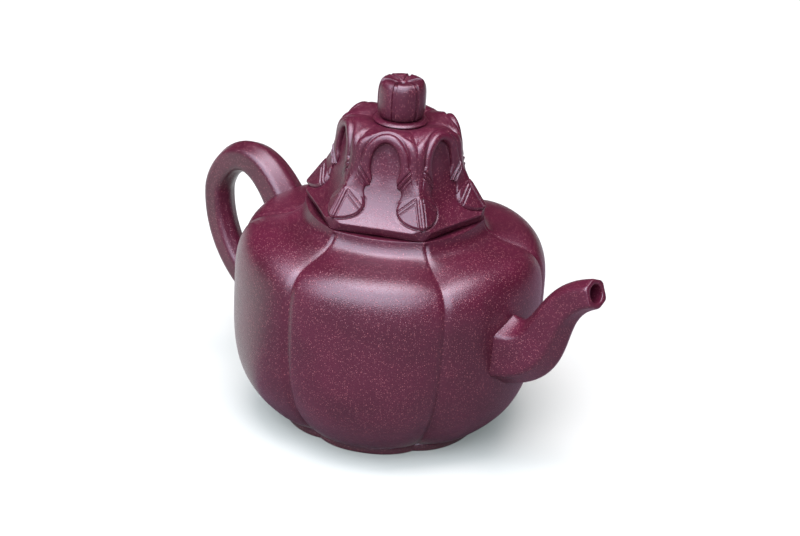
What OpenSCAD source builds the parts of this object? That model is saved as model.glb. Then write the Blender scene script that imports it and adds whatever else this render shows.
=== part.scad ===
// Six-lobed clay teapot with a hexagonal lid, a short curved spout and an ear handle.
// +X points along the spout, +Z is up, and the origin is the centre of the foot on the table.

/* [Body] */
// Radius of the body at the middle of a lobe, at its widest
lobe_r = 50.5; // [48:0.5:54]
// Radius of the body in a groove, at its widest
groove_r = 49.5; // [47:0.5:50]
// Height of the seam between the belly and the shoulder slab
seam_z = 50; // [48:0.5:54]
// Thickness of the clay wall
wall = 3; // [2:0.5:4]
// Thickness of the slab that closes the bottom
base_t = 3; // [2:0.5:4]

/* [Foot] */
// Height of the foot ring
foot_h = 4.5; // [3:0.5:6]
// Radius of the foot ring at the middle of a lobe
foot_r = 32.5; // [31:0.5:34]
// Radius of the round recess inside the foot ring
foot_recess_r = 26; // [22:0.5:28]

/* [Mouth] */
// Height of the top of the neck, where the lid sits
seat_z = 72.7; // [71:0.1:74]
// Radius of the round mouth
mouth_r = 21; // [19:0.5:22]
// Thickness of the ring that lines the mouth
mouth_ring_t = 3.3; // [2.5:0.1:3.5]
// Depth of the ring that lines the mouth
mouth_ring_h = 6.5; // [5:0.5:8]

/* [Lid] */
// Gap under the lid's rim
seat_gap = 0.2; // [0.1:0.1:0.5]
// Radius to a corner of the lid's hexagonal rim
rim_corner_r = 30.5; // [29:0.5:32]
// Distance from the axis to the flat that cuts off each corner of the rim
corner_cut_r = 28.8; // [28.5:0.1:30]
// Height of the lid's upright rim
rim_h = 3.1; // [2.6:0.1:4]
// Depth of the wall that hangs into the mouth
flange_h = 6; // [4:0.5:8]
// Thickness of the wall that hangs into the mouth
flange_t = 2.5; // [2:0.1:3]
// Gap between that wall and the mouth, on the radius
flange_gap = 0.3; // [0.2:0.1:0.6]
// How far the lid is turned in its seat, in degrees
lid_turn = -3; // [-30:1:30]
// Width of a raised cloud band
band_w = 3.2; // [2.8:0.1:4.5]
// How far a cloud band stands out
band_rise = 1.3; // [0.8:0.1:1.6]
// Width of a corner leaf, round the corner
leaf_w = 14.8; // [13:0.2:15]
// Height of a corner leaf, up the skirt
leaf_h = 12.2; // [11:0.2:13]
// How far a corner leaf stands out
leaf_rise = 1.1; // [0.8:0.1:1.4]

/* [Knob] */
// Radius of the collar under the knob
collar_r = 8.7; // [8:0.1:9.5]
// Height of the collar
collar_h = 1.3; // [1:0.1:2]
// Radius of the knob
knob_r = 7.6; // [7:0.1:8]
// Height of the knob
knob_h = 12.2; // [11:0.1:13]
// Radius of the steam hole
vent_r = 0.8; // [0.6:0.1:1]
// Angle of the knob's grooves from the lid's, in degrees
knob_turn = -8; // [-30:1:30]

/* [Spout] */
// Half-width of the spout where it leaves the body
spout_root_w = 10.4; // [9.5:0.1:11]
// Half-width of the spout at its tip
spout_tip_w = 4.6; // [4.2:0.1:5]
// Height of the spout's centre ridges from its middle, at the body
spout_root_ridge = 15.4; // [13:0.1:16]
// Height of the spout's centre ridges from its middle, at the tip
spout_tip_ridge = 4.9; // [4.6:0.1:5.4]
// Height of the spout's side edges at the body, as a share of its ridge
spout_root_share = 0.525; // [0.5:0.005:0.62]
// Radius of the channel at the tip
spout_bore_r = 3; // [2.4:0.1:3.2]
// Radius of the hole in the belly behind the spout
strainer_r = 7; // [6:0.5:7.5]
// Radius of one hole in the strainer
strainer_hole_r = 0.9; // [0.7:0.1:1.1]

/* [Handle] */
// Half-width of the handle
handle_w = 4.7; // [4.2:0.1:5.4]
// Height of the handle's centre ridges from its middle
handle_ridge = 4.9; // [4.4:0.1:5.4]
// How much thicker the handle is where it joins the shoulder
handle_flare = 0.4; // [0.2:0.05:0.5]

/* [Hidden] */

clay = [0.44, 0.22, 0.30];
clay_light = [0.50, 0.26, 0.34];
clay_dark = [0.36, 0.17, 0.24];

LOBES = 6;
LOBE_ANGLE = 360 / LOBES;
// Facets across one lobe, and rings along one curve and up the neck
LOBE_STEPS = 10;
CURVE_STEPS = 7;
NECK_STEPS = 5;
// A cutter reaches this far past the surface it opens
OVER = 1;

// Profiles are [radius, height] curves, one up the middle of a lobe and one up a groove.
lobe_low = [[foot_r + 4, foot_h], [lobe_r + 0.5, 16], [lobe_r, 26], [lobe_r, seam_z]];
groove_low = [[foot_r + 1, foot_h], [groove_r - 2.5, 16], [groove_r, 26], [groove_r, seam_z]];
lobe_high = [[lobe_r, seam_z], [lobe_r, 66], [43.5, 66.8], [34.5, seat_z - 5.3]];
groove_high = [[groove_r, seam_z], [groove_r, 66.5], [42, 62.5], [33.5, seat_z - 5.7]];
// The short neck, hollow in outline, from the shoulder up to the lid
lobe_neck = [[34.5, seat_z - 5.3], [31.5, seat_z - 5.2], [28.6, seat_z - 5.3], [28, seat_z]];
groove_neck = [[33.5, seat_z - 5.7], [31.3, seat_z - 4.3], [29.8, seat_z - 3.5], [29.2, seat_z]];
// The neck's clay is thicker: its underside meets the mouth ring at this height
neck_inner_r = 22;
neck_underside_z = seat_z - 6;
foot_groove_r = foot_r - 2;
base_lobe_r = foot_r + 0.5;
base_groove_r = foot_r - 1.5;

lid_z = seat_z + seat_gap;
rim_z = lid_z + rim_h;
rim_face_r = rim_corner_r * cos(LOBE_ANGLE / 2);
lid_top_z = rim_z + 26.4;
waist_z = rim_z + 20;
top_r = 9;
corner_low = [[rim_corner_r - 0.2, rim_z], [24, rim_z + 6], [21.5, rim_z + 12], [21, waist_z]];
face_low = [[rim_face_r - 0.2, rim_z], [20.5, rim_z + 6], [18, rim_z + 12], [17, waist_z]];
corner_high = [[21, waist_z], [20.5, waist_z + 8], [15, lid_top_z + 0.1], [top_r, lid_top_z]];
face_high = [[17, waist_z], [17, waist_z + 10.5], [13, lid_top_z + 2.6], [top_r, lid_top_z]];
// The hollow under the lid, from the flange up to the middle of its roof
hollow_r = mouth_r - flange_gap - flange_t;
hollow_wall = [[hollow_r, 82], [14.5, 86], [13.5, 92], [13, 96]];
hollow_roof = [[13, 96], [12, 98.6], [8, 99.4], [0, 99.4]];

collar_z = lid_top_z;
knob_z = collar_z + collar_h;
knob_top = knob_z + knob_h;
knob_belly_z = knob_z + 6.3;
knob_eye = [1.4, knob_top - 0.8];
knob_groove_depth = 0.5;
knob_lobe_low = [[5.6, knob_z], [knob_r - 0.4, knob_z + 0.3], [knob_r, knob_z + 1.9],
    [knob_r, knob_belly_z]];
knob_groove_low = [for (p = knob_lobe_low) [p[0] - knob_groove_depth, p[1]]];
knob_lobe_high = [[knob_r, knob_belly_z], [knob_r, knob_top + 1.2], [6.2, knob_top + 1], knob_eye];
knob_groove_high = [[knob_r - knob_groove_depth, knob_belly_z], [knob_r - knob_groove_depth, knob_top + 0.4],
    [5.6, knob_top + 0.2], knob_eye];

// The spout's and the handle's centre lines, as [x, z] curves in the plane y = 0
spout_line = [[46, 40.5], [70.5, 40.5], [59, 61.5], [80.3, 69.5]];
handle_top = [[-45, 58], [-63, 84.5], [-77.1, 64], [-77.1, 56]];
handle_low = [[-77.1, 56], [-77.1, 43], [-69.5, 26.5], [-46, 20]];
spout_axis_z = 41;

function bez(p, t) = pow(1 - t, 3) * p[0] + 3 * pow(1 - t, 2) * t * p[1]
    + 3 * (1 - t) * t * t * p[2] + pow(t, 3) * p[3];
function bez_slope(p, t) = 3 * pow(1 - t, 2) * (p[1] - p[0]) + 6 * (1 - t) * t * (p[2] - p[1])
    + 3 * t * t * (p[3] - p[2]);
function unit(v) = v / norm(v);
// A point of the profile p moved inward by d
function inset(p, t, d) = let (s = unit(bez_slope(p, t))) bez(p, t) + d * [-s[1], s[0]];
// Where an angle lies across its lobe: 0 in the middle, 1 in a groove
function across(a) = abs((a + 360 + LOBE_ANGLE / 2) % LOBE_ANGLE / (LOBE_ANGLE / 2) - 1);
// A closed ring round the Z axis that runs from point m mid-lobe to point g in the grooves
function lobed_ring(m, g, sharp) = [for (i = [0:LOBES * LOBE_STEPS - 1])
    let (a = i * LOBE_ANGLE / LOBE_STEPS, w = pow(across(a), sharp), q = (1 - w) * m + w * g)
    [q[0] * cos(a), q[0] * sin(a), q[1]]];
function lobed_rings(m, g, sharp, from, to) = [for (k = [0:CURVE_STEPS])
    let (t = from + (to - from) * k / CURVE_STEPS) lobed_ring(bez(m, t), bez(g, t), sharp)];
// The neck's rings above the top of the shoulder
function neck_rings() = [for (k = [1:NECK_STEPS])
    let (t = k / NECK_STEPS) lobed_ring(bez(lobe_neck, t), bez(groove_neck, t), 3)];
function inset_rings(m, g, sharp, d, from, to) = [for (k = [0:CURVE_STEPS])
    let (t = from + (to - from) * k / CURVE_STEPS) lobed_ring(inset(m, t, d), inset(g, t, d), sharp)];

// The spout and the handle are six-sided, with a ridge along the top and the bottom. Each
// corner is cut off a little, and each side carries two more points.
SIDE_SHARE = 0.62;
SIDE_STEPS = [0.12, 0.37, 0.63, 0.88];
function hexagon(w, ridge, share) = let (h = share * ridge,
    v = [[w, h], [0, ridge], [-w, h], [-w, -h], [0, -ridge], [w, -h]])
    [for (i = [0:5], k = SIDE_STEPS) (1 - k) * v[i] + k * v[(i + 1) % 6]];
// A six-sided section across a centre line in the plane y = 0
function section(p, t, w, ridge, share = SIDE_SHARE) = let (c = bez(p, t), s = unit(bez_slope(p, t)))
    [for (q = hexagon(w, ridge, share)) [c[0] - q[1] * s[1], q[0], c[1] + q[1] * s[0]]];
function round_section(p, t, r) = let (c = bez(p, t), s = unit(bez_slope(p, t)), first = 38)
    [for (i = [0:23]) let (a = first + i * 15, u = r * cos(a), v = r * sin(a))
        [c[0] - v * s[1], u, c[1] + v * s[0]]];

function ring_middle(ring) = [for (i = [0:2]) [for (p = ring) 1] * [for (p = ring) p[i]] / len(ring)];
function flat(rings) = [for (ring = rings) each ring];
function side_faces(m, n, wrap) = [for (i = [0:m - (wrap ? 1 : 2)], j = [0:n - 1])
    let (a = i * n + j, b = i * n + (j + 1) % n, c = (i + 1) % m * n + (j + 1) % n, d = (i + 1) % m * n + j)
    each [[a, c, b], [a, d, c]]];

// A solid through a list of rings, closed at each end by a fan round the ring's middle
module loft(rings) {
    n = len(rings[0]);
    m = len(rings);
    ends = [ring_middle(rings[0]), ring_middle(rings[m - 1])];
    caps = [for (j = [0:n - 1]) let (k = (j + 1) % n)
        each [[m * n, j, k], [m * n + 1, (m - 1) * n + k, (m - 1) * n + j]]];
    polyhedron(concat(flat(rings), ends), concat(side_faces(m, n, false), caps), convexity = 6);
}

// A hollow solid whose rings run up the outside and back down the inside
module hollow_loft(rings) {
    polyhedron(flat(rings), side_faces(len(rings), len(rings[0]), true), convexity = 8);
}

// Everything inside the pot's outer surface, used to trim what is luted to it
module pot_solid() {
    loft(concat(lobed_rings(lobe_low, groove_low, 3, 0, 1),
                [for (k = [1:CURVE_STEPS]) let (t = k / CURVE_STEPS)
                    lobed_ring(bez(lobe_high, t), bez(groove_high, t), 3)],
                neck_rings()));
}

module lid_solid() {
    rim = [lobed_ring([rim_face_r, lid_z], [rim_corner_r, lid_z], 2)];
    intersection() {
        loft(concat(rim, lobed_rings(face_low, corner_low, 2, 0, 1),
                    [for (k = [1:CURVE_STEPS]) let (t = k / CURVE_STEPS)
                        lobed_ring(bez(face_high, t), bez(corner_high, t), 2)]));
        cylinder(r = corner_cut_r / cos(LOBE_ANGLE / 2), h = 2 * lid_top_z, $fn = LOBES);
    }
}

module lobed_plate(lobe, groove, h) {
    linear_extrude(h) polygon([for (p = lobed_ring([lobe, 0], [groove, 0], 3)) [p[0], p[1]]]);
}

module belly_wall() color(clay) difference() {
    inside = inset_rings(lobe_low, groove_low, 3, wall, 1, 0.1);
    floor_rings = [for (z = [foot_h + base_t, foot_h])
        lobed_ring([base_lobe_r, z], [base_groove_r, z], 3)];
    hollow_loft(concat(lobed_rings(lobe_low, groove_low, 3, 0, 1), inside, floor_rings));
    translate([lobe_r - 2 * wall, 0, spout_axis_z]) rotate([0, 90, 0])
        cylinder(r = strainer_r, h = 3 * wall, $fn = 48);
}

module shoulder_slab() color(clay) difference() {
    inside = inset_rings(lobe_high, groove_high, 3, wall, 0.86, 0);
    rim = [for (z = [seat_z, neck_underside_z]) lobed_ring([neck_inner_r, z], [neck_inner_r, z], 3)];
    hollow_loft(concat(lobed_rings(lobe_high, groove_high, 3, 0, 1), neck_rings(), rim, inside));
    translate([0, 0, seat_z - 2 * mouth_ring_h])
        cylinder(r = mouth_r + mouth_ring_t, h = 3 * mouth_ring_h, $fn = 96);
}

module base_slab() color(clay) translate([0, 0, foot_h]) lobed_plate(base_lobe_r, base_groove_r, base_t);

module foot_ring() color(clay_dark) difference() {
    lobed_plate(foot_r, foot_groove_r, foot_h);
    translate([0, 0, -OVER]) cylinder(r = foot_recess_r, h = foot_h + 2 * OVER, $fn = 96);
}

module tube(r, t, h) {
    difference() {
        cylinder(r = r, h = h, $fn = 96);
        translate([0, 0, -OVER]) cylinder(r = r - t, h = h + 2 * OVER, $fn = 96);
    }
}

module mouth_ring() color(clay) translate([0, 0, seat_z - mouth_ring_h])
    tube(mouth_r + mouth_ring_t, mouth_ring_t, mouth_ring_h);

module spout() color(clay_light) difference() {
    steps = 12;
    outside = [for (k = [0:steps]) let (t = k / steps, q = pow(t, 0.45))
        section(spout_line, t, spout_root_w + (spout_tip_w - spout_root_w) * q,
                spout_root_ridge + (spout_tip_ridge - spout_root_ridge) * q,
                spout_root_share + (SIDE_SHARE - spout_root_share) * q)];
    channel = [for (k = [0:steps]) let (t = 1 - k / steps)
        round_section(spout_line, t, spout_bore_r + 3.4 * pow(1 - t, 1.5))];
    hollow_loft(concat(outside, channel));
    pot_solid();
}

module spout_strainer() color(clay_dark) {
    skin = 1.6;
    depth = 3;
    // The rim stops this far short of the belly's outer surface, clear of the spout
    rim_back = 1;
    // Rows of [number of holes, tilt of the row from the spout's side]
    rows = [[1, 180], [6, 152], [10, 124]];
    hole_facets = 20;
    translate([lobe_r - wall - depth, 0, spout_axis_z]) rotate([0, 90, 0]) difference() {
        rotate_extrude($fn = 48) difference() {
            union() {
                circle(r = strainer_r, $fn = 48);
                square([strainer_r, depth + wall - rim_back]);
            }
            circle(r = strainer_r - skin, $fn = 48);
            square([strainer_r - skin, 3 * depth]);
            translate([-2 * strainer_r, -2 * strainer_r]) square([2 * strainer_r, 4 * strainer_r]);
        }
        for (row = rows, i = [0:row[0] - 1]) rotate([0, row[1], i * 360 / row[0]])
            cylinder(r = strainer_hole_r, h = 2 * strainer_r, $fn = hole_facets);
    }
}

module handle() color(clay_light) difference() {
    steps = 10;
    top = [for (k = [0:steps]) let (t = k / steps, grow = 1 + handle_flare * pow(1 - t, 2))
        section(handle_top, t, handle_w * grow, handle_ridge * grow)];
    low = [for (k = [1:steps]) section(handle_low, k / steps, handle_w, handle_ridge)];
    loft(concat(top, low));
    pot_solid();
}

module lid_dome() color(clay) difference() {
    rotate(lid_turn) lid_solid();
    rotate_extrude($fn = 96) polygon(concat(
        [[0, lid_z - OVER], [hollow_r, lid_z - OVER]],
        [for (k = [0:CURVE_STEPS]) bez(hollow_wall, k / CURVE_STEPS)],
        [for (k = [1:CURVE_STEPS]) bez(hollow_roof, k / CURVE_STEPS)]));
    vent();
}

module vent() {
    translate([0, 0, lid_z]) cylinder(r = vent_r, h = knob_top, $fn = 24);
}

module lid_flange() color(clay_light) translate([0, 0, lid_z - flange_h])
    tube(mouth_r - flange_gap, flange_t, flange_h);

module knob_collar() color(clay_light) translate([0, 0, collar_z]) difference() {
    rotate_extrude($fn = 96) polygon([[0, 0], [collar_r - 0.2, 0], [collar_r, 0.2],
        [collar_r, collar_h - 0.4], [collar_r - 0.4, collar_h], [0, collar_h]]);
    translate([0, 0, -OVER]) cylinder(r = vent_r, h = collar_h + 2 * OVER, $fn = 24);
}

module knob() color(clay_light) difference() {
    rotate(lid_turn + knob_turn + LOBE_ANGLE / 2)
        loft(concat(lobed_rings(knob_lobe_low, knob_groove_low, 4, 0, 1),
                    [for (k = [1:CURVE_STEPS]) let (t = k / CURVE_STEPS)
                        lobed_ring(bez(knob_lobe_high, t), bez(knob_groove_high, t), 4)]));
    vent();
}

// The arch on a face: half its width and the half-width of its feet as shares of half a face,
// and the heights of its feet, spring line and crown as places on the lid's profile
ARCH_END = 0.6;
arch_half = 0.66;
foot_half = 0.74;
arch_foot = 0.58;
arch_spring = 0.92;
arch_crown = 1.26;
// How much narrower a band is at its feet
leg_taper = 0.15;
// Lengths on the lid's surface at the leaves: half a face, and one step of t up the skirt
HALF_FACE = 13.5;
SKIRT = 25;

// A point on the lid: s is 0 mid-face and 1 or -1 at a corner, t runs 0 to 1 up the skirt and on to 2
function lid_point(face, s, t) = let (
    w = s * s,
    low = t <= 1,
    f = low ? bez(face_low, t) : bez(face_high, t - 1),
    c = low ? bez(corner_low, t) : bez(corner_high, t - 1),
    q = (1 - w) * f + w * c,
    a = face + s * LOBE_ANGLE / 2)
    [q[0] * cos(a), q[0] * sin(a), q[1]];
function lid_normal(face, s, t) = unit(cross(
    lid_point(face, s + 0.02, t) - lid_point(face, s - 0.02, t),
    lid_point(face, s, t + 0.02) - lid_point(face, s, t - 0.02)));
// The arch's path on a face, k from -1 to 1: a foot at the corner, a leg, the arch, and back
function arch_s(k) = abs(k) < ARCH_END ? arch_half * sin(90 * k / ARCH_END)
    : sign(k) * (arch_half + (foot_half - arch_half) * pow((abs(k) - ARCH_END) / (1 - ARCH_END), 2));
function arch_t(k) = abs(k) < ARCH_END ? arch_spring + (arch_crown - arch_spring) * cos(90 * k / ARCH_END)
    : arch_spring + (arch_foot - arch_spring) * (abs(k) - ARCH_END) / (1 - ARCH_END);

module cloud_band(i) color(clay_light) rotate(lid_turn) {
    face = (i - 1) * LOBE_ANGLE;
    steps = 20;
    rings = [for (j = [0:steps])
        let (k = 2 * j / steps - 1, d = 0.02,
             p = lid_point(face, arch_s(k), arch_t(k)),
             ahead = unit(lid_point(face, arch_s(k + d), arch_t(k + d))
                 - lid_point(face, arch_s(k - d), arch_t(k - d))),
             out = lid_normal(face, arch_s(k), arch_t(k)),
             side = unit(cross(out, ahead)),
             half = band_w / 2 * (1 - leg_taper * max(0, abs(k) - ARCH_END) / (1 - ARCH_END)))
        [for (a = [0:45:315]) p + side * half * cos(a) + out * band_rise * sin(a)]];
    difference() {
        loft(rings);
        lid_solid();
    }
}

module corner_leaf(i) color(clay_dark) rotate(lid_turn) {
    corner = (i - 0.5) * LOBE_ANGLE;
    middle_t = 0.295;
    spokes = 16;
    // Rings of [share of the radius, height above the skirt]
    shape = [[0.35, -1], [1, -1], [1, leaf_rise * 0.7], [0.8, leaf_rise], [0.35, leaf_rise * 1.15]];
    rings = [for (q = shape) [for (j = [0:spokes - 1])
        let (a = -j * 360 / spokes,
             s = 1 - leaf_w / 2 * q[0] * cos(a) / HALF_FACE,
             t = middle_t + leaf_h / 2 * q[0] * sin(a) / SKIRT,
             face = corner - LOBE_ANGLE / 2)
        (s > 1 ? lid_point(face + LOBE_ANGLE, s - 2, t) : lid_point(face, s, t))
            + q[1] * lid_normal(face, 1, middle_t)]];
    difference() {
        loft(rings);
        lid_solid();
    }
}

belly_wall();
shoulder_slab();
base_slab();
foot_ring();
mouth_ring();
spout();
spout_strainer();
handle();
lid_dome();
lid_flange();
knob_collar();
knob();
for (i = [1:6]) cloud_band(i);
for (i = [1:6]) corner_leaf(i);
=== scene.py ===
"""A six-lobed clay teapot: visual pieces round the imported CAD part, their clay, a studio and a camera.

Lengths are in millimetres up to the moment a mesh is made, when they become metres. +X points along
the spout and +Z is up. The shapes follow the same driving dimensions and curves as the CAD part.
"""

import math

import bpy
import numpy as np
from mathutils import Matrix, Vector


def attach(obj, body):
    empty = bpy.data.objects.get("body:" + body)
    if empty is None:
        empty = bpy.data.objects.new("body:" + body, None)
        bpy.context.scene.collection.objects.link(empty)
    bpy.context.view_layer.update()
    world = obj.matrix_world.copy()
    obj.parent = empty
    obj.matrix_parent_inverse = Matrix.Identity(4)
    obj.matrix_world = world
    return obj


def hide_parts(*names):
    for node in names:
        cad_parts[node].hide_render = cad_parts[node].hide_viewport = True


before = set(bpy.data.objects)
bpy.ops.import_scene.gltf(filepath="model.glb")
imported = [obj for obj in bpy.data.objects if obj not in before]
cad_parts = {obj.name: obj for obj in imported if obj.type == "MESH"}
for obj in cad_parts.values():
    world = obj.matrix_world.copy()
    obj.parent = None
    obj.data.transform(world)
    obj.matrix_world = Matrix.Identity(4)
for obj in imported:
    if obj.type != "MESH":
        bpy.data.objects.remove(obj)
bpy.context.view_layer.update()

MM = 0.001
LOBES = 6
LOBE_ANGLE = 360 / LOBES

# Body, foot and mouth
WALL = 3.0
FOOT_H, FOOT_R, FOOT_GROOVE_R, FOOT_RECESS_R = 4.5, 32.5, 30.5, 26.0
BASE_R, BASE_GROOVE_R, BASE_TOP = 33.0, 31.0, 7.5
SEAM_Z, SEAT_Z = 50.0, 72.7
MOUTH_R, MOUTH_RING_T, MOUTH_RING_H = 21.0, 3.3, 6.5
LOBE_LOW = [[36.5, FOOT_H], [51, 16], [50.5, 26], [50.5, SEAM_Z]]
GROOVE_LOW = [[33.5, FOOT_H], [47, 16], [49.5, 26], [49.5, SEAM_Z]]
LOBE_HIGH = [[50.5, SEAM_Z], [50.5, 66], [43.5, 66.8], [34.5, 67.4]]
GROOVE_HIGH = [[49.5, SEAM_Z], [49.5, 66.5], [42, 62.5], [33.5, 67]]
LOBE_NECK = [[34.5, 67.4], [31.5, 67.5], [28.6, 67.4], [28, SEAT_Z]]
GROOVE_NECK = [[33.5, 67], [31.3, 68.4], [29.8, 69.2], [29.2, SEAT_Z]]
NECK_UNDERSIDE_Z = 66.5
# How steeply a lobe falls into its groove, and how far the groove's bottom is rounded
BODY_SHARPNESS, GROOVE_SOFTNESS = 3, 0.015
# A narrow V along each groove: its depth, half its width in degrees, and the heights where it fades in
CREASE_DEPTH, CREASE_HALF = 0.6, 2.8
CREASE_START, CREASE_FULL = FOOT_H + 0.5, FOOT_H + 6
# Columns of mesh points for each lobe, and how closely they crowd round the grooves
BODY_COLUMNS, FOOT_COLUMNS, GROOVE_CROWD = 60, 48, 0.6

# Lid
LID_TURN = -3.0
LID_Z, RIM_Z, WAIST_Z, TOP_Z = 72.9, 76.0, 96.0, 102.4
RIM_CORNER_R = 30.5
RIM_FACE_R = RIM_CORNER_R * math.cos(math.radians(LOBE_ANGLE / 2))
CORNER_CUT_R = 28.8
TOP_R = 9.0
CORNER_LOW = [[30.3, RIM_Z], [24, 82], [21.5, 88], [21, WAIST_Z]]
FACE_LOW = [[26.2, RIM_Z], [20.3, 80.8], [17.8, 87], [17, WAIST_Z]]
CORNER_HIGH = [[21, WAIST_Z], [20.5, 104], [15, 102.5], [TOP_R, TOP_Z]]
FACE_HIGH = [[17, WAIST_Z], [17, 106.5], [13, 105], [TOP_R, TOP_Z]]
LID_SHARPNESS = 2
HOLLOW_R = 18.2
HOLLOW_WALL = [[HOLLOW_R, 82], [14.5, 86], [13.5, 92], [13, 96]]
ROOF_Z = 99.4
HOLLOW_ROOF = [[13, 96], [12, 98.6], [8, ROOF_Z], [0, ROOF_Z]]
FLANGE_R, FLANGE_T, FLANGE_H = 20.7, 2.5, 6.0
VENT_R = 0.8

# Knob
COLLAR_R, COLLAR_H = 8.7, 1.3
KNOB_TURN = LID_TURN - 8 + LOBE_ANGLE / 2
KNOB_Z = TOP_Z + COLLAR_H
KNOB_LOW = [[5.6, KNOB_Z], [7.2, 104], [7.6, 105.6], [7.6, 110]]
KNOB_HIGH = [[7.6, 110], [7.6, 117.1], [6.2, 116.9], [1.4, 115.1]]

# Spout and handle: centre lines in the plane y = 0, as [x, z], and half-sizes of their six-sided
# sections. A share is the height of a side's edge over the height of the ridge.
SPOUT_LINE = [[46, 40.5], [70.5, 40.5], [59, 61.5], [80.3, 69.5]]
SPOUT_ROOT_W, SPOUT_TIP_W = 10.4, 4.6
SPOUT_ROOT_RIDGE, SPOUT_TIP_RIDGE = 15.4, 4.9
SPOUT_ROOT_SHARE, SIDE_SHARE = 0.525, 0.62
SPOUT_SOFTNESS, HANDLE_SOFTNESS = 1.2, 1.6
SPOUT_BORE_R, CHANNEL_FLARE = 3.0, 3.4
# The round hole in the wall behind the spout
SPOUT_AXIS_Z, STRAINER_R = 41.0, 7.0
HOLE_START_X, HOLE_LENGTH = 44.5, 8
HANDLE_TOP = [[-45, 58], [-63, 84.5], [-77.1, 64], [-77.1, 56]]
HANDLE_LOW = [[-77.1, 56], [-77.1, 43], [-69.5, 26.5], [-46, 20]]
HANDLE_W, HANDLE_RIDGE, HANDLE_FLARE = 4.7, 4.9, 0.4


# ---------------------------------------------------------------- curves


def unit(vectors):
    """Vectors cut to one unit long."""
    return vectors / np.linalg.norm(vectors, axis=-1, keepdims=True)


def bezier(points, t):
    """Points of a cubic curve at every t."""
    p = np.asarray(points, float)
    t = np.asarray(t, float)[..., None]
    u = 1 - t
    return u**3 * p[0] + 3 * u * u * t * p[1] + 3 * u * t * t * p[2] + t**3 * p[3]


def bezier_slope(points, t):
    """The direction of a cubic curve at every t, one unit long."""
    p = np.asarray(points, float)
    t = np.asarray(t, float)[..., None]
    u = 1 - t
    return unit(u * u * (p[1] - p[0]) + 2 * u * t * (p[2] - p[1]) + t * t * (p[3] - p[2]))


def inset(points, t, depth):
    """Points of a profile moved inward by depth."""
    slope = bezier_slope(points, t)
    return bezier(points, t) + depth * np.stack([-slope[..., 1], slope[..., 0]], axis=-1)


def smooth(low, high, x):
    """0 below low, 1 above high, and an S-curve between. It falls instead where high is below low."""
    x = np.clip((x - low) / (high - low), 0, 1)
    return x * x * (3 - 2 * x)


def bump(x, width):
    """A rounded bump one unit high, with most of it within width of zero."""
    return np.exp(-((x / width) ** 2))


def lobe_angles(per_lobe, crowd):
    """Angles round the axis, from groove to groove, closer together near the grooves."""
    u = np.arange(LOBES * per_lobe) / per_lobe
    return LOBE_ANGLE * (u - crowd * np.sin(2 * np.pi * u) / (2 * np.pi) - 0.5)


def across(angles, softness=0.0):
    """Where an angle lies across its lobe: 0 mid-lobe, 1 in a groove. Softness rounds the groove."""
    a = np.abs((np.asarray(angles) + 360 + LOBE_ANGLE / 2) % LOBE_ANGLE / (LOBE_ANGLE / 2) - 1)
    return np.clip(1 - np.sqrt((1 - a) ** 2 + softness**2), 0, 1)


def ring_grid(middle, groove, angles, weights):
    """Rings round the axis, from rows of [radius, height] mid-lobe and rows of them in the grooves."""
    middle = np.asarray(middle, float)[:, None, :]
    groove = np.asarray(groove, float)[:, None, :]
    w = np.asarray(weights)[None, :, None]
    q = (1 - w) * middle + w * groove
    a = np.radians(angles)
    return np.stack([q[..., 0] * np.cos(a), q[..., 0] * np.sin(a), q[..., 1]], axis=-1)


def rounded(corners, radii, steps=5):
    """An outline whose corners are rounded: each is cut back by its radius and bridged by a curve."""
    p = np.asarray(corners, float)
    out = []
    for i, radius in enumerate(radii):
        if radius <= 0:
            out.append(p[i])
            continue
        before, after = p[i - 1] - p[i], p[(i + 1) % len(p)] - p[i]
        a = p[i] + before / np.linalg.norm(before) * radius
        b = p[i] + after / np.linalg.norm(after) * radius
        for t in np.linspace(0, 1, steps + 1):
            out.append((1 - t) ** 2 * a + 2 * t * (1 - t) * p[i] + t * t * b)
    return np.array(out)


def turned(points, degrees):
    """Points turned round the Z axis."""
    c, s = math.cos(math.radians(degrees)), math.sin(math.radians(degrees))
    return np.asarray(points) @ np.array([[c, s, 0], [-s, c, 0], [0, 0, 1]])


# ---------------------------------------------------------------- meshes


def signed_volume(points, faces):
    """Positive where the faces of a closed mesh look outward."""
    total = 0.0
    for size in (3, 4):
        f = np.array([q for q in faces if len(q) == size])
        for k in range(1, size - 1):
            if len(f):
                a, b, c = points[f[:, 0]], points[f[:, k]], points[f[:, k + 1]]
                total += np.einsum("ij,ij->", a, np.cross(b, c))
    return total


def make_object(name, points, faces, material):
    """A closed mesh object from points in millimetres, with its faces looking outward."""
    points = np.asarray(points, float)
    if signed_volume(points, faces) < 0:
        faces = [q[::-1] for q in faces]
    mesh = bpy.data.meshes.new(name)
    mesh.from_pydata((points * MM).tolist(), [], faces)
    mesh.polygons.foreach_set("use_smooth", [True] * len(mesh.polygons))
    mesh.materials.append(material)
    mesh.update()
    obj = bpy.data.objects.new(name, mesh)
    bpy.context.scene.collection.objects.link(obj)
    return obj


def grid_faces(rows, columns, wrap_rows=False, wrap_columns=True):
    """Quads of a grid of points that are listed row by row."""
    i, j = np.meshgrid(
        np.arange(rows if wrap_rows else rows - 1),
        np.arange(columns if wrap_columns else columns - 1),
        indexing="ij",
    )
    i2, j2 = (i + 1) % rows, (j + 1) % columns
    quads = [i * columns + j, i * columns + j2, i2 * columns + j2, i2 * columns + j]
    return np.stack(quads, axis=-1).reshape(-1, 4).tolist()


def hollow_object(name, rings, material):
    """A shell through rings that run up the outside and back down the inside."""
    rings = np.asarray(rings)
    faces = grid_faces(rings.shape[0], rings.shape[1], wrap_rows=True)
    return make_object(name, rings.reshape(-1, 3), faces, material)


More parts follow.
